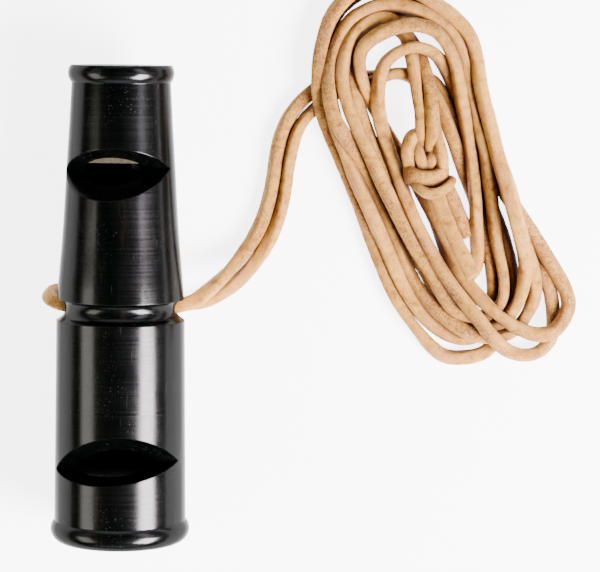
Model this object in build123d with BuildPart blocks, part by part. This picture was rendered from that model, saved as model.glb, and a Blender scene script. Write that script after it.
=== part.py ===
from build123d import *
import math
import os

# Two-tone dog whistle: a turned horn body with a plain-note chamber at its narrow
# end and a trill chamber at its wide end, on a thong lanyard.  Millimetres.
# The whistle lies on its side: its axis runs along Y, narrow end towards +Y,
# windows up, with the lanyard in a loose hank on the +X side.

# ---- driving dimensions: body ----
overall_length = 80.4
half_length = overall_length / 2
wide_bead_radius = 11.8
wide_bead_width = 3.6
wide_bead_crest = 0.56
wide_face_radius = 10.4
barrel_foot_radius = 11.15
barrel_top_radius = 10.82
barrel_top_y = -2.6
groove_shoulder_radius = 9.95
groove_shoulder_y = -2.0
groove_radius = 9.3
groove_y = -0.6
cone_foot_radius = 10.65
cone_foot_y = 0.96
cove_lip = 0.1
narrow_bead_radius = 8.9
narrow_bead_width = 2.9
narrow_bead_crest = 0.5
narrow_neck_radius = 8.3
narrow_face_radius = 8.45
# The cone's swept outline between its foot and its neck, as radius and place along Y.
cone_outline = [(10.55, 2.8), (9.97, 9.5), (9.14, 22.8), (8.72, 29.6)]

axis_height = wide_bead_radius

# ---- driving dimensions: chambers, windows, blocks ----
trill_bore_radius = 8.0
trill_bore_floor_y = -5.5
plain_bore_radius = 5.9
plain_bore_floor_y = 4.2
plain_bore_offset = -0.6
thong_hole_radius = 1.4

trill_window_y = -26.7
trill_window_height = 3.9
trill_window_roll = 3.5
trill_window_skew = 5.0
trill_ramp_lean = 38.0
trill_block_lean = 18.6

plain_window_y = 22.9
plain_window_height = 2.07
plain_window_roll = 8.7
plain_window_skew = 2.0
plain_ramp_lean = 34.0
plain_block_lean = 28.0

window_reach = 14.0
window_rise = 12.0

trill_block_end_y = -28.0
plain_block_end_y = 24.0
block_recess = 0.3
windway_exit = 1.3
windway_mouth = 1.9

# ---- driving dimensions: pea ----
pea_radius = 4.5
pea_gap = 0.15
pea_start_gap = 0.4

# ---- driving dimensions: thong ----
thong_diameter = 2.4
thong_radius = thong_diameter / 2
floor_gap = 0.05
floor_height = thong_radius + floor_gap
corner_share = 0.45
hank_height = 7.2
hank_edge = 1.2
knot_bottom = 1.0
knot_top = 8.2
knot_edge = 1.4

# The thong's two leads, from inside the cross hole to the hank.
right_lead_route = [
    (5.5, groove_y, axis_height),
    (11.3, -0.4, 11.4),
    (15.2, 2.6, 6.8),
    (19.3, 6.6, 2.2),
    (23.2, 12.2, floor_height),
    (25.4, 19.5, floor_height),
    (26.1, 27.5, floor_height),
    (28.7, 33.4, floor_height),
    (33.8, 37.6, floor_height),
]
left_lead_route = [
    (-6.2, groove_y, axis_height),
    (-11.9, 0.1, 11.4),
    (-12.9, 1.5, 5.6),
    (-10.4, 1.3, floor_height),
    (-5.3, groove_y, floor_height),
    (4.4, groove_y - 0.2, floor_height),
    (11.8, -2.0, floor_height),
    (17.3, 0.6, floor_height),
    (21.9, 4.9, floor_height),
    (25.6, 10.4, floor_height),
    (27.7, 17.2, floor_height),
    (28.5, 24.6, floor_height),
    (29.7, 31.0, floor_height),
    (34.3, 34.9, floor_height),
]
long_tail_route = [
    (53.3, 19.0, 6.6),
    (55.2, 14.2, 7.6),
    (58.1, 9.5, 8.3),
    (60.6, 4.3, 8.6),
]
short_tail_route = [
    (55.2, 19.2, 5.2),
    (57.0, 15.8, 4.8),
    (58.5, 12.8, 4.5),
    (59.2, 10.0, 4.4),
]

# The hank's outline and the long gap between its two sides, and the knot's outline.
hank_outline = [
    (48, 53.5), (55, 51.8), (60.5, 46), (62, 37), (65, 28), (69.3, 17.5), (74.5, 8),
    (78, 0), (76, -7), (69, -11), (57.5, -11.6), (50.5, -7.5), (44.8, 2), (40.3, 12),
    (35.6, 22), (32, 33), (31.9, 43), (37, 50.8),
]
hank_gap_outline = [
    (50.5, 38.5), (56.2, 36), (57.6, 29), (58.6, 21), (59.4, 13), (60.8, 6), (59.6, 3.4),
    (56, 6.5), (52.6, 13), (49.4, 20), (46.4, 27.5), (46.4, 35),
]
knot_outline = [
    (50.2, 30.6), (54.0, 29.6), (55.9, 25.5), (56.6, 20.5), (54.2, 17.2), (51.2, 17.6),
    (48.8, 21.5), (47.4, 26.5),
]

os.makedirs("parts", exist_ok=True)

axis_plane = Plane(origin=(0, 0, axis_height), x_dir=(1, 0, 0), z_dir=(0, 0, 1))
whistle_axis = Axis((0, 0, axis_height), (0, 1, 0))


def station(y, x=0.0):
    """Plane across the whistle's axis at y, its normal towards +Y."""
    return Plane(origin=(x, y, axis_height), x_dir=(1, 0, 0), z_dir=(0, 1, 0))


def window_plane(y, height, roll, skew):
    """Plane along a window's deepest line: local x along the whistle, local y outwards."""
    turn = math.radians(roll)
    outwards = Vector(-math.sin(turn), 0, math.cos(turn))
    across = Vector(math.cos(turn), 0, math.sin(turn))
    swing = math.radians(skew)
    along = Vector(0, 1, 0)
    cut_across = across * math.cos(swing) + along * math.sin(swing)
    cut_along = along * math.cos(swing) - across * math.sin(swing)
    deepest = Vector(0, y, axis_height) + outwards * height
    return Plane(origin=deepest, x_dir=cut_along, z_dir=cut_across)


def notch(plane, lean_towards_narrow, lean_towards_wide):
    """V-shaped cutter of a window: each side leans away from the deepest line."""
    narrow_side = window_rise * math.tan(math.radians(lean_towards_narrow))
    wide_side = window_rise * math.tan(math.radians(lean_towards_wide))
    with BuildPart() as cutter:
        with BuildSketch(plane):
            with BuildLine():
                Polyline((0, 0), (narrow_side, window_rise), (-wide_side, window_rise),
                         (0, 0))
            make_face()
        extrude(amount=window_reach, both=True)
    return cutter.part


def windway_plane(exit_y, mouth_y, bore, roll):
    """Plane of a block's flat, its normal outwards, rising from the mouth to the exit."""
    turn = math.radians(roll)
    outwards = Vector(-math.sin(turn), 0, math.cos(turn))
    at_exit = Vector(0, exit_y, axis_height) + outwards * (bore - windway_exit)
    at_mouth = Vector(0, mouth_y, axis_height) + outwards * (bore - windway_mouth)
    across = Vector(math.cos(turn), 0, math.sin(turn))
    slope = (at_exit - at_mouth).normalized()
    normal = across.cross(slope)
    if normal.Z < 0:
        normal = normal * -1
    return Plane(origin=at_exit, x_dir=across, z_dir=normal)


def corner_radii(name, route):
    """The arc radius of each corner of a thong's route, printed for reading."""
    radii = []
    for before, corner, after in zip(route, route[1:], route[2:]):
        arriving = Vector(corner) - Vector(before)
        leaving = Vector(after) - Vector(corner)
        half_turn = math.radians(arriving.get_angle(leaving)) / 2
        shorter = min(arriving.length, leaving.length)
        radii.append(corner_share * shorter / math.tan(half_turn))
    print(name, "radii", [round(radius, 1) for radius in radii])
    return radii


def thong(name, route):
    """A tube of the thong's diameter along straight runs joined by tangent arcs."""
    with BuildPart() as tube:
        with BuildLine():
            path = FilletPolyline(*route, radius=corner_radii(name, route))
        start = Plane(origin=path @ 0, z_dir=path % 0)
        with BuildSketch(start):
            Circle(thong_radius)
        sweep(path=path)
    section = math.pi * thong_radius ** 2
    print(name, "length", round(path.length, 1), "volume error",
          round(tube.part.volume / (section * path.length) - 1, 4))
    return tube


# ---- window cutters ----
trill_notch = notch(
    window_plane(trill_window_y, trill_window_height, trill_window_roll, trill_window_skew),
    trill_ramp_lean, trill_block_lean)
plain_notch = notch(
    window_plane(plain_window_y, plain_window_height, plain_window_roll, plain_window_skew),
    plain_block_lean, plain_ramp_lean)

# ---- horn body ----
with BuildPart() as whistle_body:
    with BuildSketch(axis_plane):
        with BuildLine():
            wide_end = Line((0, -half_length), (wide_face_radius, -half_length))
            wide_bead_top_y = -half_length + wide_bead_width
            wide_bead = ThreePointArc(
                wide_end @ 1,
                (wide_bead_radius, -half_length + wide_bead_crest * wide_bead_width),
                (barrel_foot_radius, wide_bead_top_y))
            barrel = Line(wide_bead @ 1, (barrel_top_radius, barrel_top_y))
            shoulder = Line(barrel @ 1, (groove_shoulder_radius, groove_shoulder_y))
            cove = ThreePointArc(shoulder @ 1, (groove_radius, groove_y),
                                 (groove_shoulder_radius, cone_foot_y - cove_lip))
            cone_foot = Line(cove @ 1, (cone_foot_radius, cone_foot_y))
            cone = Spline(cone_foot @ 1, *cone_outline,
                          (narrow_neck_radius, half_length - narrow_bead_width))
            narrow_bead = ThreePointArc(
                cone @ 1,
                (narrow_bead_radius, half_length - narrow_bead_crest * narrow_bead_width),
                (narrow_face_radius, half_length))
            narrow_end = Line(narrow_bead @ 1, (0, half_length))
            Line(narrow_end @ 1, wide_end @ 0)
        make_face()
    revolve(axis=whistle_axis)
    with BuildSketch(station(-half_length)):
        Circle(trill_bore_radius)
    extrude(amount=trill_bore_floor_y + half_length, mode=Mode.SUBTRACT)
    with BuildSketch(station(half_length, plain_bore_offset)):
        Circle(plain_bore_radius)
    extrude(amount=plain_bore_floor_y - half_length, mode=Mode.SUBTRACT)
    with BuildSketch(Plane(origin=(0, groove_y, axis_height), x_dir=(0, 1, 0), z_dir=(1, 0, 0))):
        Circle(thong_hole_radius)
    extrude(amount=wide_bead_radius, both=True, mode=Mode.SUBTRACT)
    add(trill_notch, mode=Mode.SUBTRACT)
    add(plain_notch, mode=Mode.SUBTRACT)
whistle_body.part.label = "whistle_body"

# ---- blocks: plugs with a flat that leaves the windway ----
with BuildPart() as lower_block:
    with BuildSketch(station(-half_length + block_recess)):
        Circle(trill_bore_radius)
    extrude(amount=trill_block_end_y + half_length - block_recess)
    split(bisect_by=windway_plane(trill_block_end_y, -half_length, trill_bore_radius,
                                  trill_window_roll), keep=Keep.BOTTOM)
    add(trill_notch, mode=Mode.SUBTRACT)
lower_block.part.label = "lower_block"

with BuildPart() as upper_block:
    with BuildSketch(station(half_length - block_recess, plain_bore_offset)):
        Circle(plain_bore_radius)
    extrude(amount=plain_block_end_y - half_length + block_recess)
    split(bisect_by=windway_plane(plain_block_end_y, half_length, plain_bore_radius,
                                  plain_window_roll), keep=Keep.BOTTOM)
    add(plain_notch, mode=Mode.SUBTRACT)
upper_block.part.label = "upper_block"

# ---- pea, lying on the trill chamber's wall at its inner end ----
pea_centre_y = trill_bore_floor_y - pea_start_gap - pea_radius
pea_centre_z = axis_height - trill_bore_radius + pea_gap + pea_radius
with BuildPart() as cork_pea:
    with Locations((0, pea_centre_y, pea_centre_z)):
        Sphere(pea_radius)
cork_pea.part.label = "cork_pea"
pea_travel = pea_centre_y - (trill_block_end_y + pea_start_gap + pea_radius)
print("pea travel", round(pea_travel, 2))

# ---- thong lanyard ----
lead_right = thong("lead_right", right_lead_route)
lead_right.part.label = "lead_right"
lead_left = thong("lead_left", left_lead_route)
lead_left.part.label = "lead_left"
tail_long = thong("tail_long", long_tail_route)
tail_long.part.label = "tail_long"
tail_short = thong("tail_short", short_tail_route)
tail_short.part.label = "tail_short"

with BuildPart() as cord_hank:
    with BuildSketch(Plane.XY):
        with BuildLine():
            Spline(*hank_outline, periodic=True)
        make_face()
        with BuildLine():
            Spline(*hank_gap_outline, periodic=True)
        make_face(mode=Mode.SUBTRACT)
    extrude(amount=hank_height)
    fillet(cord_hank.faces().sort_by(Axis.Z)[-1].outer_wire().edges(), radius=hank_edge)
cord_hank.part.label = "cord_hank"

with BuildPart() as cord_knot:
    with BuildSketch(Plane.XY.offset(knot_bottom)):
        with BuildLine():
            Spline(*knot_outline, periodic=True)
        make_face()
    extrude(amount=knot_top - knot_bottom)
    fillet(cord_knot.faces().sort_by(Axis.Z)[-1].edges(), radius=knot_edge)
cord_knot.part.label = "cord_knot"

for name, piece in [
    ("whistle_body", whistle_body),
    ("lower_block", lower_block),
    ("upper_block", upper_block),
    ("cork_pea", cork_pea),
    ("lead_right", lead_right),
    ("lead_left", lead_left),
    ("cord_hank", cord_hank),
    ("cord_knot", cord_knot),
    ("tail_long", tail_long),
    ("tail_short", tail_short),
]:
    export_step(piece.part, f"parts/{name}.step")
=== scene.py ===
import math

import bpy
import numpy as np
from mathutils import Matrix, Vector, noise


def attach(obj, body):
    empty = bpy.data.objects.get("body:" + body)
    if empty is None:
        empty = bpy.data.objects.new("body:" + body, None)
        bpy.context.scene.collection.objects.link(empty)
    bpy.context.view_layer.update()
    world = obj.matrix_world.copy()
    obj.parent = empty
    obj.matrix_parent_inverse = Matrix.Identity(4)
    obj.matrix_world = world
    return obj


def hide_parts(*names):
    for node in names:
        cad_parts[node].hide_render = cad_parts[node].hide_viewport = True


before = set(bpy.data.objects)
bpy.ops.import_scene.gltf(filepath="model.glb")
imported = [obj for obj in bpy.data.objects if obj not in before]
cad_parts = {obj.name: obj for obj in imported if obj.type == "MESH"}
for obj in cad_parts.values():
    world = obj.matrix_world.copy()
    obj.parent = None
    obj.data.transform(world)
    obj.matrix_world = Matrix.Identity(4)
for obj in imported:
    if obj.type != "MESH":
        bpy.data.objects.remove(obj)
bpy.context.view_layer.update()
MM = 0.001

# Sizes and places of the thong are in millimetres, and a line turns into metres only
# in spline_line.  The floor is at height 0.
# ---------------------------------------------------------------- the thong's size
THONG = 2.4                         # the strip's thickness as it is sold
HALF_WIDTH = 1.23
HALF_THICKNESS = 1.02
FLOOR_HEIGHT = THONG / 2 + 0.05     # the centreline of a strand on the floor
CONTACT = 2.25                      # two centrelines this close push each other apart
SIDEWAYS = 0.6                      # how much of that push works sideways
AXIS_HEIGHT = 11.8                  # the whistle's axis
GROOVE_Y = -0.6                     # the waist and its cross hole

# The two leads, in millimetres, each from inside the cross hole.  part.py has the same
# routes; here the two lie a little closer together.
RIGHT_LEAD = [
    (5.5, GROOVE_Y, AXIS_HEIGHT), (11.3, -0.4, 11.2), (15.2, 2.4, 6.8), (19.3, 6.4, 2.4),
    (23.2, 12.0, FLOOR_HEIGHT), (25.4, 19.5, FLOOR_HEIGHT), (26.2, 27.5, FLOOR_HEIGHT),
    (28.8, 33.2, FLOOR_HEIGHT), (33.6, 37.2, FLOOR_HEIGHT),
]
LEFT_LEAD = [
    (-6.2, GROOVE_Y, AXIS_HEIGHT), (-11.9, 0.1, 11.4), (-12.9, 1.5, 5.6),
    (-10.4, 1.3, FLOOR_HEIGHT), (-5.3, GROOVE_Y, FLOOR_HEIGHT),
    (4.4, GROOVE_Y - 0.2, FLOOR_HEIGHT), (11.8, -1.4, FLOOR_HEIGHT),
    (17.3, 1.2, FLOOR_HEIGHT), (21.7, 5.2, FLOOR_HEIGHT), (25.2, 10.6, FLOOR_HEIGHT),
    (27.3, 17.2, FLOOR_HEIGHT), (28.2, 24.8, FLOOR_HEIGHT), (29.8, 30.6, FLOOR_HEIGHT),
    (34.2, 34.6, FLOOR_HEIGHT),
]

# ---------------------------------------------------------------- the hank's turns
# The hank is bent along an arc.  A point of it is (s, w): s along the arc from its
# top end, w across it, positive to the right.
HANK_BEND = 119.0                   # the arc's radius
HANK_HEADING = math.radians(4.6)    # how far the arc leans where it starts
HANK_START = (45.8, 50.2)           # (x, y) of its top end
SIDE_TOP = 15.0                     # s where the sides of every turn start and end
SIDE_FOOT = 45.0
SIDE_STEPS = 4
HANK_STEP = 4.0                     # between neighbouring control points
TIGHTEST = 5.0                      # the radius that the easing of tight folds aims at

# One turn goes down the right side, round the bottom, up the left side and over the
# top.  A side is its w at its top, middle and foot; an end is five of its points.
# The last values are the layers of the four, from 0 on the floor upwards.
RIGHT_LEAD_TURNS = [
    ((6.0, 8.2, 8.4), ((52.5, 6.4), (59.0, 1.2), (61.0, -5.0), (58.4, -10.2), (51.5, -12.1)),
     (-14.1, -12.4, -12.5), ((5.0, -12.7), (-0.6, -10.0), (-4.8, -2.5), (-1.0, 6.0), (6.0, 12.4)),
     (1.0, 1.0, 1.5, 3.0)),
    ((12.4, 12.5, 11.0), ((51.5, 9.5), (55.8, 6.2), (57.8, 0.5), (55.6, -4.5), (50.0, -6.0)),
     (-9.4, -7.0, -5.8), ((7.6, -9.9), (2.0, -7.4), (0.2, 0.0), (2.6, 6.4), (8.5, 10.0)),
     (4.0, 3.0, 1.8, 2.4)),
    ((10.5, 12.0, 12.3), ((53.0, 12.2), (61.2, 10.0), (67.2, 4.8), (62.8, -0.6), (54.5, -2.0)),
     (-5.2, -4.8, -3.8), ((11.0, -4.0), (8.2, -2.2), (6.6, 2.2), (8.4, 6.1), (12.0, 7.6)),
     (2.2, 5.0, 6.0, 7.0)),
    ((8.3, 11.0, 12.7), ((54.5, 13.6), (62.4, 12.9), (65.4, 8.4), (60.8, 3.4), (53.0, 0.3)),
     (-6.2, -2.0, -1.4), ((10.5, -7.5), (6.2, -6.8), (2.9, 1.6), (4.9, 7.4), (10.0, 9.3)),
     (2.6, 7.0, 5.4, 6.2)),
    ((9.4, 7.9, 3.7), ((52.0, 3.0), (56.2, 1.0), (57.0, -1.6), (55.0, -3.5), (51.0, -4.2)),
     (-8.6, -6.4, -4.4), ((9.5, -8.6), (5.2, -7.0), (2.2, -3.6), (2.6, 0.0), (6.0, 2.6)),
     (6.0, 4.0, 2.2, 3.6)),
]
LEFT_LEAD_TURNS = [
    ((4.7, 6.8, 5.5), ((52.0, 3.2), (56.8, -0.4), (58.4, -4.0), (55.6, -7.8), (50.6, -10.2)),
     (-13.4, -11.3, -11.0), ((5.6, -12.4), (0.0, -10.0), (-4.2, -2.4), (-0.6, 6.0), (6.2, 12.1)),
     (1.2, 1.2, 1.6, 2.6)),
    ((12.0, 12.6, 11.6), ((53.0, 10.5), (58.4, 7.2), (60.6, 2.0), (58.0, -3.0), (51.5, -7.0)),
     (-13.1, -9.2, -9.0), ((6.2, -11.4), (1.7, -8.2), (-0.8, -1.2), (1.6, 5.4), (6.8, 9.9)),
     (3.6, 2.6, 3.2, 4.4)),
    ((11.0, 10.5, 6.8), ((51.5, 5.4), (57.0, 2.0), (58.2, -0.8), (56.6, -3.6), (51.5, -5.1)),
     (-10.0, -7.2, -5.3), ((9.0, -10.3), (3.9, -8.0), (1.0, -3.8), (1.4, 0.0), (5.0, 1.9)),
     (4.6, 2.8, 2.5, 3.8)),
]

# Under the hank on the way in and over it on the way out, as (s, w, layer).
RIGHT_LEAD_IN = [(10.6, -11.0, 0.0), (11.4, -5.0, 0.0), (11.2, 0.0, 0.2), (12.8, 4.2, 0.6)]
LEFT_LEAD_IN = [(11.9, -10.6, 0.0), (11.2, -5.0, 0.6), (10.6, -0.5, 0.9), (12.4, 2.8, 0.9)]
RIGHT_LEAD_OUT = [(10.5, 3.7, 4.2), (15.0, 3.8, 4.6)]
LEFT_LEAD_OUT = [(10.5, 2.1, 4.4), (15.5, 1.9, 4.8)]
# From there down into the knot, as (x, y, z).
RIGHT_LEAD_KNOT = [(52.2, 32.6, 6.6), (52.5, 30.0, 6.9), (52.4, 28.0, 6.2), (52.2, 26.2, 4.8),
                   (52.0, 24.8, 3.4)]
LEFT_LEAD_KNOT = [(50.3, 32.4, 6.0), (50.4, 29.9, 6.1), (50.7, 28.0, 5.2), (51.1, 26.6, 3.9)]


def hank_point(s, w):
    """(x, y) of a point of the hank, in millimetres."""
    centre_x = HANK_START[0] + HANK_BEND * math.cos(HANK_HEADING)
    centre_y = HANK_START[1] + HANK_BEND * math.sin(HANK_HEADING)
    turn = HANK_HEADING + s / HANK_BEND
    reach = HANK_BEND - w
    return centre_x - reach * math.cos(turn), centre_y - reach * math.sin(turn)


def side_stations(widths, layer, downwards):
    """Stations of one side of a turn, its w a smooth curve through three values."""
    top, middle, foot = widths
    stations = []
    for step in range(SIDE_STEPS + 1):
        t = step / SIDE_STEPS
        w = top * (1 - t) * (1 - 2 * t) + middle * 4 * t * (1 - t) + foot * t * (2 * t - 1)
        stations.append((SIDE_TOP + (SIDE_FOOT - SIDE_TOP) * t, w, layer))
    return stations if downwards else stations[::-1]


def smooth_through(stations, spacing):
    """Points on a smooth curve through all the stations, about this far apart."""
    stations = [np.array(s, float) for s in stations]
    padded = [2 * stations[0] - stations[1]] + stations + [2 * stations[-1] - stations[-2]]
    points = []
    for p0, p1, p2, p3 in zip(padded, padded[1:], padded[2:], padded[3:]):
        t0 = 0.0
        t1 = t0 + np.linalg.norm((p1 - p0)[:2]) ** 0.5
        t2 = t1 + np.linalg.norm((p2 - p1)[:2]) ** 0.5
        t3 = t2 + np.linalg.norm((p3 - p2)[:2]) ** 0.5
        steps = max(1, round(np.linalg.norm((p2 - p1)[:2]) / spacing))
        for step in range(steps):
            t = t1 + (t2 - t1) * step / steps
            a1 = p0 * (t1 - t) / (t1 - t0) + p1 * (t - t0) / (t1 - t0)
            a2 = p1 * (t2 - t) / (t2 - t1) + p2 * (t - t1) / (t2 - t1)
            a3 = p2 * (t3 - t) / (t3 - t2) + p3 * (t - t2) / (t3 - t2)
            b1 = a1 * (t2 - t) / (t2 - t0) + a2 * (t - t0) / (t2 - t0)
            b2 = a2 * (t3 - t) / (t3 - t1) + a3 * (t - t1) / (t3 - t1)
            points.append(tuple(b1 * (t2 - t) / (t2 - t1) + b2 * (t - t1) / (t2 - t1)))
    return points + [tuple(stations[-1])]


def hank_points(way_in, turns, way_out):
    """All hank points of one cord, as (s, w, layer)."""
    stations = list(way_in)
    for right, bottom, left, top, layers in turns:
        stations += side_stations(right, layers[0], True)
        stations += [(s, w, layers[1]) for s, w in bottom]
        stations += side_stations(left, layers[2], False)
        stations += [(s, w, layers[3]) for s, w in top]
    return smooth_through(stations + list(way_out), HANK_STEP)


# ---------------------------------------------------------------- settling the cords
SAMPLES_PER_POINT = 4
EASING_ROUNDS = 80
SETTLING_ROUNDS = 420
SINK = 0.04                 # how far everything sinks in a round
HOLD = 0.20                 # the pull back to the planned line
STIFFNESS = 0.10            # how much a cord resists a bend up or down
EASE = 0.7                  # how much it resists a tight bend in plan
PUSH = 1.8                  # how hard touching strands push each other apart
SAME_STRAND = 3 * THONG     # samples closer than this along a cord don't push each other
PAIR_REACH = 2.2 * CONTACT  # nor do samples further apart than this in the planned lines
SMALLEST_GAP = 0.05         # keeps the push finite where two centrelines meet
NEARLY_ZERO = 0.01


def spline_weights(count, samples):
    """How much each control point counts at each sample of a clamped quadratic spline."""
    degree = 2
    spans = count - degree
    knots = np.concatenate([np.zeros(degree), np.arange(spans + 1), np.full(degree, spans)])
    at = np.linspace(0, spans - 1e-9, samples)
    weights = np.array([(knots[k] <= at) & (at < knots[k + 1]) for k in range(len(knots) - 1)],
                       float)
    for d in range(1, degree + 1):
        raised = np.zeros((len(weights) - 1, samples))
        for k in range(len(raised)):
            left, right = knots[k + d] - knots[k], knots[k + d + 1] - knots[k + 1]
            if left > 0:
                raised[k] += (at - knots[k]) / left * weights[k]
            if right > 0:
                raised[k] += (knots[k + d + 1] - at) / right * weights[k + 1]
        weights = raised
    return weights.T


def bend_excess(points):
    """How far each point has to move in plan for the cord to be bent less tightly there."""
    before = np.roll(points, 1, axis=0)[:, :2] - points[:, :2]
    after = np.roll(points, -1, axis=0)[:, :2] - points[:, :2]
    middle = (before + after) / 2
    middle[[0, -1]] = 0
    bend = np.linalg.norm(middle, axis=1)
    step = (np.linalg.norm(before, axis=1) + np.linalg.norm(after, axis=1)) / 2
    share = np.maximum(1 - step ** 2 / (2 * TIGHTEST) / np.maximum(bend, NEARLY_ZERO), 0)
    return middle * share[:, None]


def close_pairs(where, cord_of):
    """Pairs of samples that lie near each other in plan, but not along one strand."""
    run = np.concatenate([[0], np.cumsum(np.linalg.norm(np.diff(where[:, :2], axis=0), axis=1))])
    apart = np.linalg.norm(where[:, None, :2] - where[None, :, :2], axis=2)
    same_strand = (cord_of[:, None] == cord_of) & (np.abs(run[:, None] - run) < SAME_STRAND)
    return np.nonzero(np.triu((apart < PAIR_REACH) & ~same_strand))


def shoves(where, first, second):
    """How far each sample is pushed by the strands that it presses on, and by the floor."""
    between = where[first] - where[second]
    distance = np.maximum(np.linalg.norm(between, axis=1), SMALLEST_GAP)
    short = np.maximum(CONTACT - distance, 0)
    shove = between / distance[:, None] * (short / 2)[:, None]
    shove[:, :2] *= SIDEWAYS
    total, count = np.zeros_like(where), np.zeros(len(where))
    for index, sign in ((first, 1), (second, -1)):
        np.add.at(total, index, sign * shove)
        np.add.at(count, index, short > 0)
    total /= np.maximum(np.sqrt(count), 1)[:, None]
    total[:, 2] += np.maximum(FLOOR_HEIGHT - where[:, 2] - total[:, 2], 0)
    return total


def settle_move(state, plan, weights, pushed):
    """How far the control points of one cord move in a round, when its samples are
    pushed this far."""
    move = PUSH * (weights.T @ pushed) / weights.sum(axis=0)[:, None]
    move[:, :2] += HOLD * (plan - state)[:, :2]
    move[:, 2] -= SINK
    middle = (np.roll(state, 1, axis=0) + np.roll(state, -1, axis=0)) / 2 - state
    middle[[0, -1]] = 0
    move[:, 2] += STIFFNESS * middle[:, 2]
    move[:, :2] += EASE * bend_excess(state)
    return move


def settle(cords):
    """Lets the cords sink onto the floor and onto each other.  Every point of a cord
    starts at the height of its layer; where two strands come too close they push
    each other apart, a weak pull keeps each strand to its planned line, and tight
    bends are eased.  A point whose height is given stays where it is."""
    weights = [spline_weights(len(c), SAMPLES_PER_POINT * len(c)) for c in cords]
    plans = [np.array([[p[0], p[1], FLOOR_HEIGHT + p[3] * CONTACT if p[2] is None else p[2]]
                       for p in c]) for c in cords]
    free = [np.array([p[2] is None for p in c])[:, None] for c in cords]
    for plan, loose in zip(plans, free):
        for _ in range(EASING_ROUNDS):
            plan[:, :2] += np.where(loose, EASE * bend_excess(plan), 0)
    states = [plan.copy() for plan in plans]
    where = np.vstack([w @ plan for w, plan in zip(weights, plans)])
    ends = np.cumsum([len(w) for w in weights])
    cord_of = np.searchsorted(ends, np.arange(len(where)), side="right")
    first, second = close_pairs(where, cord_of)
    for _ in range(SETTLING_ROUNDS):
        where = np.vstack([w @ state for w, state in zip(weights, states)])
        pushes = np.split(shoves(where, first, second), ends[:-1])
        for w, state, plan, loose, pushed in zip(weights, states, plans, free, pushes):
            state += np.where(loose, settle_move(state, plan, w, pushed), 0)
            state[:, 2] = np.maximum(state[:, 2], FLOOR_HEIGHT)
    return [[tuple(point) for point in state] for state in states]


def cord_route(lead, way_in, turns, way_out, to_knot):
    """One cord's control points before it is settled."""
    route = [[x, y, z, 0.0] for x, y, z in lead]
    for s, w, layer in hank_points(way_in, turns, way_out):
        x, y = hank_point(s, w)
        route.append([x, y, None, layer])
    return route + [[x, y, z, 5.0] for x, y, z in to_knot]


# ---------------------------------------------------------------- strips of leather
def spline_line(points, resolution=8):
    """The points of the NURBS spline through these control points, in metres."""
    data = bpy.data.curves.new("line", "CURVE")
    data.dimensions = "3D"
    spline = data.splines.new("NURBS")
    spline.points.add(len(points) - 1)
    for point, (x, y, z) in zip(spline.points, points):
        point.co = (x * MM, y * MM, z * MM, 1)
    spline.order_u = 3
    spline.use_endpoint_u = True
    spline.resolution_u = resolution
    curve = bpy.data.objects.new("line", data)
    bpy.context.scene.collection.objects.link(curve)
    mesh = bpy.data.meshes.new_from_object(curve)
    line = [v.co.copy() for v in mesh.vertices]
    bpy.data.objects.remove(curve)
    bpy.data.meshes.remove(mesh)
    return line


STRIP_SIDES = 20            # points round the strip's section
STRIP_ROUNDING = 0.62       # 1 would give an oval section, 0 a rectangle
STRIP_LENGTH_PER_UV = 10    # millimetres
LOWEST = 0.02               # no point of a strip lies lower
# Noise along a strip: how quickly it changes per millimetre, and how strong it is.
TURN_RATE = 0.035
SWELL_RATE, SWELL = 0.12, 0.10
FLATTEN_RATE, FLATTEN = 0.06, 0.12
ROUGH_RATE, ROUGH = 0.9, 0.05
ROUGH_SPREAD = 1.7          # how far apart the sides of a section lie in that noise


def strip_section(along, angle, half_width, half_thickness, seed):
    """The points of a strip's section, as (sideways, upwards) in metres."""
    swell = 1 + SWELL * noise.noise(Vector((along * SWELL_RATE, seed + 7, 0.1)))
    flatten = 1 + FLATTEN * noise.noise(Vector((along * FLATTEN_RATE, seed + 13, 0.9)))
    cos_angle, sin_angle = math.cos(angle), math.sin(angle)
    points = []
    for k in range(STRIP_SIDES):
        turn = 2 * math.pi * k / STRIP_SIDES
        c, s = math.cos(turn), math.sin(turn)
        x = math.copysign(abs(c) ** STRIP_ROUNDING, c) * half_width * swell * MM
        y = math.copysign(abs(s) ** STRIP_ROUNDING, s) * half_thickness * swell / flatten * MM
        rough = 1 + ROUGH * noise.noise(Vector((along * ROUGH_RATE, k * ROUGH_SPREAD, seed)))
        x, y = x * rough, y * rough
        points.append((x * cos_angle - y * sin_angle, x * sin_angle + y * cos_angle))
    return points


def strip_uv(mesh, lengths):
    """Lays a UV layer on a strip: X runs along it, Y once round it."""
    around = STRIP_SIDES
    uv = mesh.uv_layers.new(name="strip")
    for poly in mesh.polygons:
        last_column = len(poly.vertices) == 4 and poly.index % around == around - 1
        for loop in poly.loop_indices:
            ring, k = divmod(mesh.loops[loop].vertex_index, around)
            if last_column and k == 0:
                k = around
            uv.data[loop].uv = (lengths[ring] / STRIP_LENGTH_PER_UV, k / around)


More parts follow.
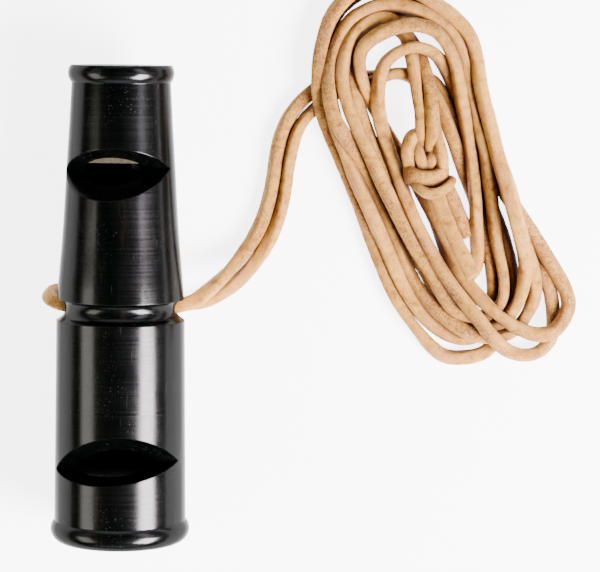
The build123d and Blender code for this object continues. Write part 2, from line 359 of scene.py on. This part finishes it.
def strip_mesh(name, line, half_width, half_thickness, seed, turns_per_metre=9.0,
               start_turn=0.0, wander=2.4):
    """A flat-sided, slowly twisting strip that follows a line, with soft cut edges.
    Slow noise along it turns, swells and flattens the section, and quick noise
    roughens it."""
    around = STRIP_SIDES
    line = [p for i, p in enumerate(line) if i == 0 or (p - line[i - 1]).length > 1e-6]
    tangents = []
    for i in range(len(line)):
        before, after = line[max(i - 1, 0)], line[min(i + 1, len(line) - 1)]
        tangents.append((after - before).normalized())
    up = Vector((0, 0, 1)) if abs(tangents[0].z) < 0.9 else Vector((0, 1, 0))
    side = tangents[0].cross(up).normalized()
    verts, faces, lengths = [], [], []
    length = 0.0
    for i, (centre, tangent) in enumerate(zip(line, tangents)):
        if i:
            length += (centre - line[i - 1]).length
            side = (side - tangent * side.dot(tangent)).normalized()
        normal = side.cross(tangent).normalized()
        along = length / MM
        drift = noise.noise(Vector((along * TURN_RATE, seed, 0.5)))
        angle = start_turn + turns_per_metre * 2 * math.pi * length + wander * drift
        for x, y in strip_section(along, angle, half_width, half_thickness, seed):
            point = centre + (side * x + normal * y)
            point.z = max(point.z, LOWEST * MM)
            verts.append(point)
        lengths.append(along)
    rings = len(line)
    for i in range(rings - 1):
        for k in range(around):
            a, b = i * around + k, i * around + (k + 1) % around
            faces.append((a, b, b + around, a + around))
    faces.append(tuple(reversed(range(around))))
    faces.append(tuple(range((rings - 1) * around, rings * around)))
    mesh = bpy.data.meshes.new(name)
    mesh.from_pydata([tuple(v) for v in verts], [], faces)
    strip_uv(mesh, lengths)
    for poly in mesh.polygons:
        poly.use_smooth = len(poly.vertices) == 4
    piece = bpy.data.objects.new(name, mesh)
    bpy.context.scene.collection.objects.link(piece)
    return piece


# ---------------------------------------------------------------- materials
def new_material(name):
    """An empty node material with its Principled shader."""
    material = bpy.data.materials.new(name)
    material.use_nodes = True
    nodes, links = material.node_tree.nodes, material.node_tree.links
    return material, nodes, links, nodes["Principled BSDF"]


def noise_node(nodes, links, vector, scale, detail, roughness, distortion=0.0):
    """Noise, from 0 to 1."""
    texture = nodes.new("ShaderNodeTexNoise")
    texture.inputs["Scale"].default_value = scale
    texture.inputs["Detail"].default_value = detail
    texture.inputs["Roughness"].default_value = roughness
    texture.inputs["Distortion"].default_value = distortion
    links.new(vector, texture.inputs["Vector"])
    return texture.outputs["Fac"]


def mapped(nodes, links, vector, scale):
    """Coordinates stretched by a scale for each axis."""
    mapping = nodes.new("ShaderNodeMapping")
    mapping.inputs["Scale"].default_value = scale
    links.new(vector, mapping.inputs["Vector"])
    return mapping.outputs["Vector"]


def ramp_node(nodes, links, factor, stops):
    """A ramp through (position, grey value or colour) stops."""
    ramp = nodes.new("ShaderNodeValToRGB")
    while len(ramp.color_ramp.elements) < len(stops):
        ramp.color_ramp.elements.new(0.5)
    for element, (position, colour) in zip(ramp.color_ramp.elements, stops):
        element.position = position
        element.color = (*colour, 1) if hasattr(colour, "__len__") else (colour,) * 3 + (1,)
    links.new(factor, ramp.inputs["Fac"])
    return ramp.outputs["Color"]


def mix_colour(nodes, links, factor, a, b, blend_type="MIX"):
    """Mixes two colours; each input is a socket or a value."""
    mix = nodes.new("ShaderNodeMix")
    mix.data_type = "RGBA"
    mix.blend_type = blend_type
    for socket, value in ((mix.inputs["Factor"], factor), (mix.inputs["A"], a),
                          (mix.inputs["B"], b)):
        if hasattr(value, "is_output"):
            links.new(value, socket)
        elif hasattr(value, "__len__"):
            socket.default_value = (*value, 1)
        else:
            socket.default_value = value
    return mix.outputs["Result"]


def math_node(nodes, links, operation, a, b=0.0):
    """One sum of sockets or values."""
    node = nodes.new("ShaderNodeMath")
    node.operation = operation
    for socket, value in zip(node.inputs, (a, b)):
        if hasattr(value, "is_output"):
            links.new(value, socket)
        else:
            socket.default_value = value
    return node.outputs["Value"]


def bump_node(nodes, links, height, strength, distance, normal=None):
    """Relief from a height, on top of an earlier normal if there is one."""
    bump = nodes.new("ShaderNodeBump")
    bump.inputs["Strength"].default_value = strength
    bump.inputs["Distance"].default_value = distance
    links.new(height, bump.inputs["Height"])
    if normal is not None:
        links.new(normal, bump.inputs["Normal"])
    return bump.outputs["Normal"]


def suede_mask(nodes, links, strip, blotch):
    """Where the strip is rough suede: one of its flat faces, worn smooth in patches."""
    parts = nodes.new("ShaderNodeSeparateXYZ")
    links.new(strip, parts.inputs[0])
    face = ramp_node(nodes, links, parts.outputs["Y"],
                     [(0.50, 0.0), (0.60, 1.0), (0.90, 1.0), (1.0, 0.0)])
    worn = ramp_node(nodes, links, blotch, [(0.36, 0.35), (0.52, 1.0)])
    return math_node(nodes, links, "MULTIPLY", face, worn)


def open_air(nodes, links):
    """Mask for the painted shade between strands, from ambient occlusion: 0 deep between strands,
    1 in the open.
    """
    crevice = nodes.new("ShaderNodeAmbientOcclusion")
    crevice.inputs["Distance"].default_value = 0.005
    crevice.samples = 8
    return ramp_node(nodes, links, crevice.outputs["AO"], [(0.20, 0.0), (0.66, 1.0)])


def leather_material(name, pale, tan, shade, blush, painted_crevice_shade):
    """Undyed thong leather: mottled tan, fibres along the strip, one face rough suede,
    and painted shade that darkens the crevices between strands."""
    material, nodes, links, shader = new_material(name)
    place = nodes.new("ShaderNodeTexCoord").outputs["Object"]
    strip_map = nodes.new("ShaderNodeUVMap")
    strip_map.uv_map = "strip"
    strip = strip_map.outputs["UV"]
    blotch = noise_node(nodes, links, place, 160, 3, 0.6)
    mottle = noise_node(nodes, links, place, 620, 5, 0.65)
    grain = noise_node(nodes, links, place, 3800, 4, 0.7)
    nap = noise_node(nodes, links, place, 2300, 5, 0.75)
    fibres = noise_node(nodes, links, mapped(nodes, links, strip, (2.2, 15, 1)), 3.0, 5, 0.65, 0.6)
    suede = suede_mask(nodes, links, strip, blotch)

    colour = ramp_node(nodes, links, mottle, [(0.30, shade), (0.47, tan), (0.66, pale)])
    blush_mask = ramp_node(nodes, links, blotch, [(0.52, 0.0), (0.70, 0.85)])
    colour = mix_colour(nodes, links, blush_mask, colour, blush)
    streak = ramp_node(nodes, links, fibres, [(0.33, 0.74), (0.58, 1.0)])
    colour = mix_colour(nodes, links, 0.75, colour, streak, "MULTIPLY")
    speck = ramp_node(nodes, links, grain, [(0.30, 0.45), (0.50, 1.0)])
    colour = mix_colour(nodes, links, 0.8, colour, speck, "MULTIPLY")
    nap_specks = ramp_node(nodes, links, nap,
                           [(0.40, (0.42, 0.38, 0.34)), (0.56, (1.0, 0.99, 0.97))])
    napped = mix_colour(nodes, links, 1.0, colour, nap_specks, "MULTIPLY")
    colour = mix_colour(nodes, links, suede, colour, napped)
    # painted shade: ambient occlusion blends the colour into a dark brown deep between strands
    colour = mix_colour(nodes, links, open_air(nodes, links), painted_crevice_shade, colour)
    links.new(colour, shader.inputs["Base Color"])

    roughness = ramp_node(nodes, links, mottle, [(0.3, 0.82), (0.7, 0.62)])
    links.new(roughness, shader.inputs["Roughness"])
    shader.inputs["Specular IOR Level"].default_value = 0.2
    shader.inputs["Sheen Weight"].default_value = 0.05
    shader.inputs["Sheen Roughness"].default_value = 0.5

    rough_nap = math_node(nodes, links, "MULTIPLY", nap, suede)
    normal = bump_node(nodes, links, fibres, 0.5, 0.00025)
    normal = bump_node(nodes, links, rough_nap, 0.6, 0.00025, normal)
    normal = bump_node(nodes, links, grain, 0.35, 0.00012, normal)
    links.new(normal, shader.inputs["Normal"])
    return material


def cells_node(nodes, links, vector, scale):
    """Distance to the nearest of many scattered points."""
    cells = nodes.new("ShaderNodeTexVoronoi")
    cells.inputs["Scale"].default_value = scale
    links.new(vector, cells.inputs["Vector"])
    return cells.outputs["Distance"]


def horn_pits(nodes, links, place):
    """Small pits in patches: 0 in a pit, 1 elsewhere."""
    pits = ramp_node(nodes, links, cells_node(nodes, links, place, 1500),
                     [(0.05, 0.0), (0.16, 1.0)])
    patches = ramp_node(nodes, links, noise_node(nodes, links, place, 130, 2, 0.5),
                        [(0.60, 1.0), (0.66, 0.0)])
    return math_node(nodes, links, "MAXIMUM", pits, patches)


def horn_dust(nodes, links, place):
    """Specks of dust in patches."""
    specks = ramp_node(nodes, links, cells_node(nodes, links, place, 2300),
                       [(0.10, 1.0), (0.17, 0.0)])
    patches = ramp_node(nodes, links, noise_node(nodes, links, place, 95, 3, 0.5),
                        [(0.46, 0.0), (0.60, 0.8)])
    return math_node(nodes, links, "MULTIPLY", specks, patches)


def horn_material():
    """Polished black horn: turning rings, grain streaks, pits, dust and fine scratches."""
    material, nodes, links, shader = new_material("black_horn")
    place = nodes.new("ShaderNodeTexCoord").outputs["Object"]
    streaks = noise_node(nodes, links, mapped(nodes, links, place, (420, 28, 420)), 1.0, 4, 0.6)
    rings = noise_node(nodes, links, mapped(nodes, links, place, (3, 2600, 3)), 1.0, 3, 0.7)
    smudges = noise_node(nodes, links, place, 210, 4, 0.6)
    scratches = noise_node(nodes, links, mapped(nodes, links, place, (2400, 120, 2400)),
                           1.0, 2, 0.5)
    pits = horn_pits(nodes, links, place)

    colour = ramp_node(nodes, links, streaks,
                       [(0.35, (0.0002, 0.0006, 0.0005)), (0.60, (0.001, 0.0012, 0.001)),
                        (0.80, (0.009, 0.006, 0.004))])
    nicks = ramp_node(nodes, links, scratches, [(0.70, 0.0), (0.78, 0.35)])
    marks = math_node(nodes, links, "MAXIMUM", horn_dust(nodes, links, place), nicks)
    marks = math_node(nodes, links, "MAXIMUM", marks,
                      math_node(nodes, links, "SUBTRACT", 1.0, pits))
    colour = mix_colour(nodes, links, marks, colour, (0.045, 0.038, 0.036))
    links.new(colour, shader.inputs["Base Color"])

    shine = ramp_node(nodes, links, smudges, [(0.35, 0.14), (0.70, 0.19)])
    lines = ramp_node(nodes, links, rings, [(0.35, 0.0), (0.65, 0.09)])
    links.new(math_node(nodes, links, "ADD", shine, lines), shader.inputs["Roughness"])
    # a thin dull bloom keeps the flanks from shining as much as the crown
    flank = nodes.new("ShaderNodeLayerWeight")
    flank.inputs["Blend"].default_value = 0.5
    bloom = ramp_node(nodes, links, flank.outputs["Facing"],
                      [(0.18, 0.31), (0.27, 0.05), (0.60, 0.012)])
    links.new(bloom, shader.inputs["Specular IOR Level"])
    shader.inputs["IOR"].default_value = 1.54

    edges = nodes.new("ShaderNodeBevel")
    edges.samples = 6
    edges.inputs["Radius"].default_value = 0.00022
    normal = bump_node(nodes, links, rings, 0.06, 0.00004, edges.outputs["Normal"])
    normal = bump_node(nodes, links, scratches, 0.10, 0.00003, normal)
    normal = bump_node(nodes, links, pits, 0.12, 0.00006, normal)
    links.new(normal, shader.inputs["Normal"])
    return material


def wood_material(name, dark, light):
    """Sawn end of a wooden block: fine grain and torn fibres."""
    grain_scale = (1500, 200, 1500)
    material, nodes, links, shader = new_material(name)
    place = nodes.new("ShaderNodeTexCoord").outputs["Object"]
    grain = noise_node(nodes, links, mapped(nodes, links, place, grain_scale), 1.0, 5, 0.65)
    colour = ramp_node(nodes, links, grain, [(0.32, dark), (0.62, light)])
    links.new(colour, shader.inputs["Base Color"])
    shader.inputs["Roughness"].default_value = 0.75
    links.new(bump_node(nodes, links, grain, 0.6, 0.0002), shader.inputs["Normal"])
    return material


def cork_material():
    """Natural cork: warm granules with dark pores."""
    material, nodes, links, shader = new_material("cork")
    place = nodes.new("ShaderNodeTexCoord").outputs["Object"]
    cells = cells_node(nodes, links, place, 900)
    patches = noise_node(nodes, links, place, 500, 4, 0.6)
    colour = ramp_node(nodes, links, patches, [(0.35, (0.20, 0.10, 0.045)),
                                               (0.65, (0.50, 0.31, 0.16))])
    pores = ramp_node(nodes, links, cells, [(0.12, 0.35), (0.30, 1.0)])
    colour = mix_colour(nodes, links, 0.8, colour, pores, "MULTIPLY")
    links.new(colour, shader.inputs["Base Color"])
    shader.inputs["Roughness"].default_value = 0.85
    links.new(bump_node(nodes, links, cells, 0.5, 0.0002), shader.inputs["Normal"])
    return material


def give(piece, material):
    """Puts one material on every slot of a piece."""
    piece.data.materials.clear()
    piece.data.materials.append(material)


# ---------------------------------------------------------------- the thong
# the last colour is painted shade for the crevices between strands
leather = leather_material("thong_leather", pale=(0.56, 0.29, 0.056), tan=(0.47, 0.215, 0.036),
                           shade=(0.25, 0.095, 0.013), blush=(0.50, 0.22, 0.070),
                           painted_crevice_shade=(0.10, 0.032, 0.005))

routes = settle([
    cord_route(RIGHT_LEAD, RIGHT_LEAD_IN, RIGHT_LEAD_TURNS, RIGHT_LEAD_OUT, RIGHT_LEAD_KNOT),
    cord_route(LEFT_LEAD, LEFT_LEAD_IN, LEFT_LEAD_TURNS, LEFT_LEAD_OUT, LEFT_LEAD_KNOT),
])
right_line, left_line = (spline_line(route) for route in routes)
thong_right = strip_mesh("thong_right", right_line, HALF_WIDTH, HALF_THICKNESS, 3.1)
thong_left = strip_mesh("thong_left", left_line, HALF_WIDTH, HALF_THICKNESS, 8.7)

KNOT_STRANDS = [
    # The left lobe, the right lobe and the two strands that meet in a V between them,
    # each as its points and its half width.
    ([(51.0, 28.2, 3.4), (50.2, 28.8, 4.3), (49.1, 28.6, 5.7), (48.3, 27.3, 6.4),
      (48.2, 25.6, 6.3), (48.6, 23.8, 5.4), (49.4, 21.6, 3.8)], 1.2),
    ([(52.7, 30.6, 4.4), (52.9, 29.0, 5.4), (53.5, 26.9, 6.3), (54.0, 25.0, 6.4),
      (54.0, 23.2, 5.6), (53.2, 21.2, 4.0)], 1.23),
    ([(49.3, 28.0, 4.0), (49.9, 26.4, 5.6), (50.6, 24.4, 6.1), (51.2, 22.6, 5.3)], 1.05),
    ([(53.1, 26.8, 4.6), (52.7, 25.4, 5.9), (52.1, 24.0, 6.2), (51.7, 22.6, 5.2)], 0.85),
]
# Two wraps round the strands, each as centre x and y, reach to the side, rise, height
# of its centre, tilt to the right and how far its front hangs down.
KNOT_WRAPS = [(51.5, 22.3, 3.3, 2.7, 4.4, 0.02, 1.1), (52.6, 20.3, 2.9, 2.9, 4.5, 0.05, 1.5)]
WRAP_POINTS = 12            # of one wrap
WRAP_CHANGE = (0.8, 1.2)    # the laps between which the first wrap turns into the second
WRAP_HALF_WIDTH = 1.62
WRAP_HALF_THICKNESS = 0.80
WRAP_FLATNESS = 0.6         # 1 would make a wrap an oval seen from its end


def wrap_line():
    """The strand that goes twice round the knot, its ends hidden behind it."""
    points = []
    first, second = (np.array(values) for values in KNOT_WRAPS)
    change_start, change_end = WRAP_CHANGE
    for step in range(len(KNOT_WRAPS) * WRAP_POINTS + 1):
        lap = step / WRAP_POINTS
        blend = min(max((lap - change_start) / (change_end - change_start), 0), 1)
        x, y, reach, rise, height, tilt, hang = first + (second - first) * blend
        turn = 2 * math.pi * lap
        across = -reach * math.sin(turn)
        up = -math.cos(turn)
        points.append((x + across, y + across * tilt - hang * max(up, 0) ** 2,
                       height + rise * math.copysign(abs(up) ** WRAP_FLATNESS, up)))
    return points


def joined(name, pieces):
    """Joins mesh pieces into one."""
    bpy.ops.object.select_all(action="DESELECT")
    for piece in pieces:
        piece.select_set(True)
    bpy.context.view_layer.objects.active = pieces[0]
    bpy.ops.object.join()
    pieces[0].name = name
    pieces[0].data.name = name
    return pieces[0]


knot_pieces = [strip_mesh(f"strand_{i}", spline_line(points), half_width, HALF_THICKNESS,
                          seed=20 + i, turns_per_metre=4.0, start_turn=0.4 * i)
               for i, (points, half_width) in enumerate(KNOT_STRANDS)]
knot_pieces.append(strip_mesh("wraps", spline_line(wrap_line()), WRAP_HALF_WIDTH,
                              WRAP_HALF_THICKNESS, seed=31, turns_per_metre=0.0, wander=0.12))
knot = joined("knot", knot_pieces)

LONG_TAIL = [(52.2, 21.4, 5.0), (53.2, 18.8, 6.0), (54.1, 16.4, 6.6), (55.4, 13.4, 7.2),
             (56.9, 10.2, 7.6), (58.3, 7.5, 8.0), (59.7, 4.8, 8.2)]
SHORT_TAIL = [(54.7, 21.0, 3.6), (55.6, 19.0, 3.4), (56.6, 16.9, 3.0), (57.7, 14.4, 2.6),
              (59.2, 11.4, 2.2)]
tail_long = strip_mesh("tail_end_long", spline_line(LONG_TAIL), half_width=1.3,
                       half_thickness=1.0, seed=41, turns_per_metre=1.0, wander=0.3)
# the short tail lies with its suede side up
tail_short = strip_mesh("tail_end_short", spline_line(SHORT_TAIL), half_width=1.2,
                        half_thickness=0.9, seed=43, turns_per_metre=1.0, start_turn=math.pi,
                        wander=0.3)

for piece in (thong_right, thong_left, knot, tail_long, tail_short):
    give(piece, leather)
    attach(piece, "whistle")
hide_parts("lead_right", "cord_hank")
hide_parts("lead_left")
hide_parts("cord_knot")
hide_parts("tail_long")
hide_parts("tail_short")

# ---------------------------------------------------------------- the whistle
give(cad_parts["whistle_body"], horn_material())
give(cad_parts["upper_block"],
     wood_material("pale_wood", (0.030, 0.024, 0.013), (0.070, 0.057, 0.034)))
# the lower block gets a much darker colour than the upper block
give(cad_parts["lower_block"],
     wood_material("dark_wood", (0.010, 0.009, 0.007), (0.035, 0.027, 0.019)))
give(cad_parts["cork_pea"], cork_material())

# ---------------------------------------------------------------- floor, light, camera
# Sizes and places are in metres here, the sensor and the lens in millimetres.
FLOOR_REACH = 1.5
LIGHT_AIM = Vector((0, 0, 0.01))
# Each softbox as its name, place, length along the whistle and height, power and colour.
SOFTBOXES = [
    ("right_box", (0.375, -0.19, 0.335), (0.34, 0.23), 20.5, (1, 0.93, 0.98)),
    ("right_far_box", (0.375, 0.22, 0.335), (0.34, 0.16), 0.75, (0.88, 0.93, 1)),
    ("left_box", (-0.41, -0.14, 0.29), (0.34, 0.22), 1.4, (1, 0.97, 0.88)),
    ("left_far_box", (-0.41, 0.22, 0.29), (0.30, 0.20), 0.13, (0.9, 1, 0.9)),
]
CAMERA = Vector((30.2, 45.5, 419.5)) * MM
CAMERA_AIM = Vector((30.2, 2.2, 0)) * MM
CAMERA_ROLL = math.radians(0.6)
SENSOR_WIDTH = 36
LENS = 145.98


def floor_material():
    """Bright matt paper."""
    material, _, _, shader = new_material("floor")
    shader.inputs["Base Color"].default_value = (0.9, 0.9, 0.9, 1)
    shader.inputs["Roughness"].default_value = 0.6
    shader.inputs["Specular IOR Level"].default_value = 0.1
    shader.inputs["Emission Color"].default_value = (1, 1, 1, 1)
    shader.inputs["Emission Strength"].default_value = 5.0
    return material


def studio_floor():
    """One large flat sheet under everything."""
    reach = FLOOR_REACH
    mesh = bpy.data.meshes.new("floor")
    mesh.from_pydata([(-reach, -reach, 0), (reach, -reach, 0), (reach, reach, 0),
                      (-reach, reach, 0)], [], [(0, 1, 2, 3)])
    sheet = bpy.data.objects.new("floor", mesh)
    bpy.context.scene.collection.objects.link(sheet)
    give(sheet, floor_material())
    return sheet


def studio_world():
    """A room that is dim to the left and right and overhead, and bright beyond the
    head and the foot of the whistle."""
    world = bpy.data.worlds.new("studio")
    world.use_nodes = True
    nodes, links = world.node_tree.nodes, world.node_tree.links
    background = nodes["Background"]
    background.inputs["Color"].default_value = (0.9, 0.95, 1, 1)
    direction = nodes.new("ShaderNodeSeparateXYZ")
    links.new(nodes.new("ShaderNodeTexCoord").outputs["Generated"], direction.inputs[0])
    along = math_node(nodes, links, "ABSOLUTE", direction.outputs["Y"])
    brightness = ramp_node(nodes, links, along, [(0.72, 0.006), (0.95, 2.0)])
    links.new(brightness, background.inputs["Strength"])
    return world


def softbox(name, centre, size, power, colour):
    """A rectangular area light that faces the whistle."""
    light = bpy.data.lights.new(name, "AREA")
    light.shape = "RECTANGLE"
    light.size, light.size_y = size
    light.energy = power
    light.color = colour
    lamp = bpy.data.objects.new(name, light)
    bpy.context.scene.collection.objects.link(lamp)
    lamp.location = centre
    towards = (LIGHT_AIM - Vector(centre)).normalized()
    lamp.rotation_euler = towards.to_track_quat("-Z", "Y").to_euler()


def studio_camera():
    """The camera above the whistle, turned a little about its own line of sight."""
    data = bpy.data.cameras.new("camera")
    data.sensor_fit = "HORIZONTAL"
    data.sensor_width = SENSOR_WIDTH
    data.lens = LENS
    data.clip_start = 0.01
    data.clip_end = 10
    camera = bpy.data.objects.new("camera", data)
    bpy.context.scene.collection.objects.link(camera)
    camera.location = CAMERA
    forward = (CAMERA_AIM - CAMERA).normalized()
    level = Vector((1, 0, 0))
    upright = level.cross(forward)
    right = level * math.cos(CAMERA_ROLL) + upright * math.sin(CAMERA_ROLL)
    up = right.cross(forward)
    camera.rotation_euler = Matrix((right, up, -forward)).transposed().to_euler()
    return camera


studio_floor()
bpy.context.scene.world = studio_world()
for box in SOFTBOXES:
    softbox(*box)
bpy.context.scene.camera = studio_camera()
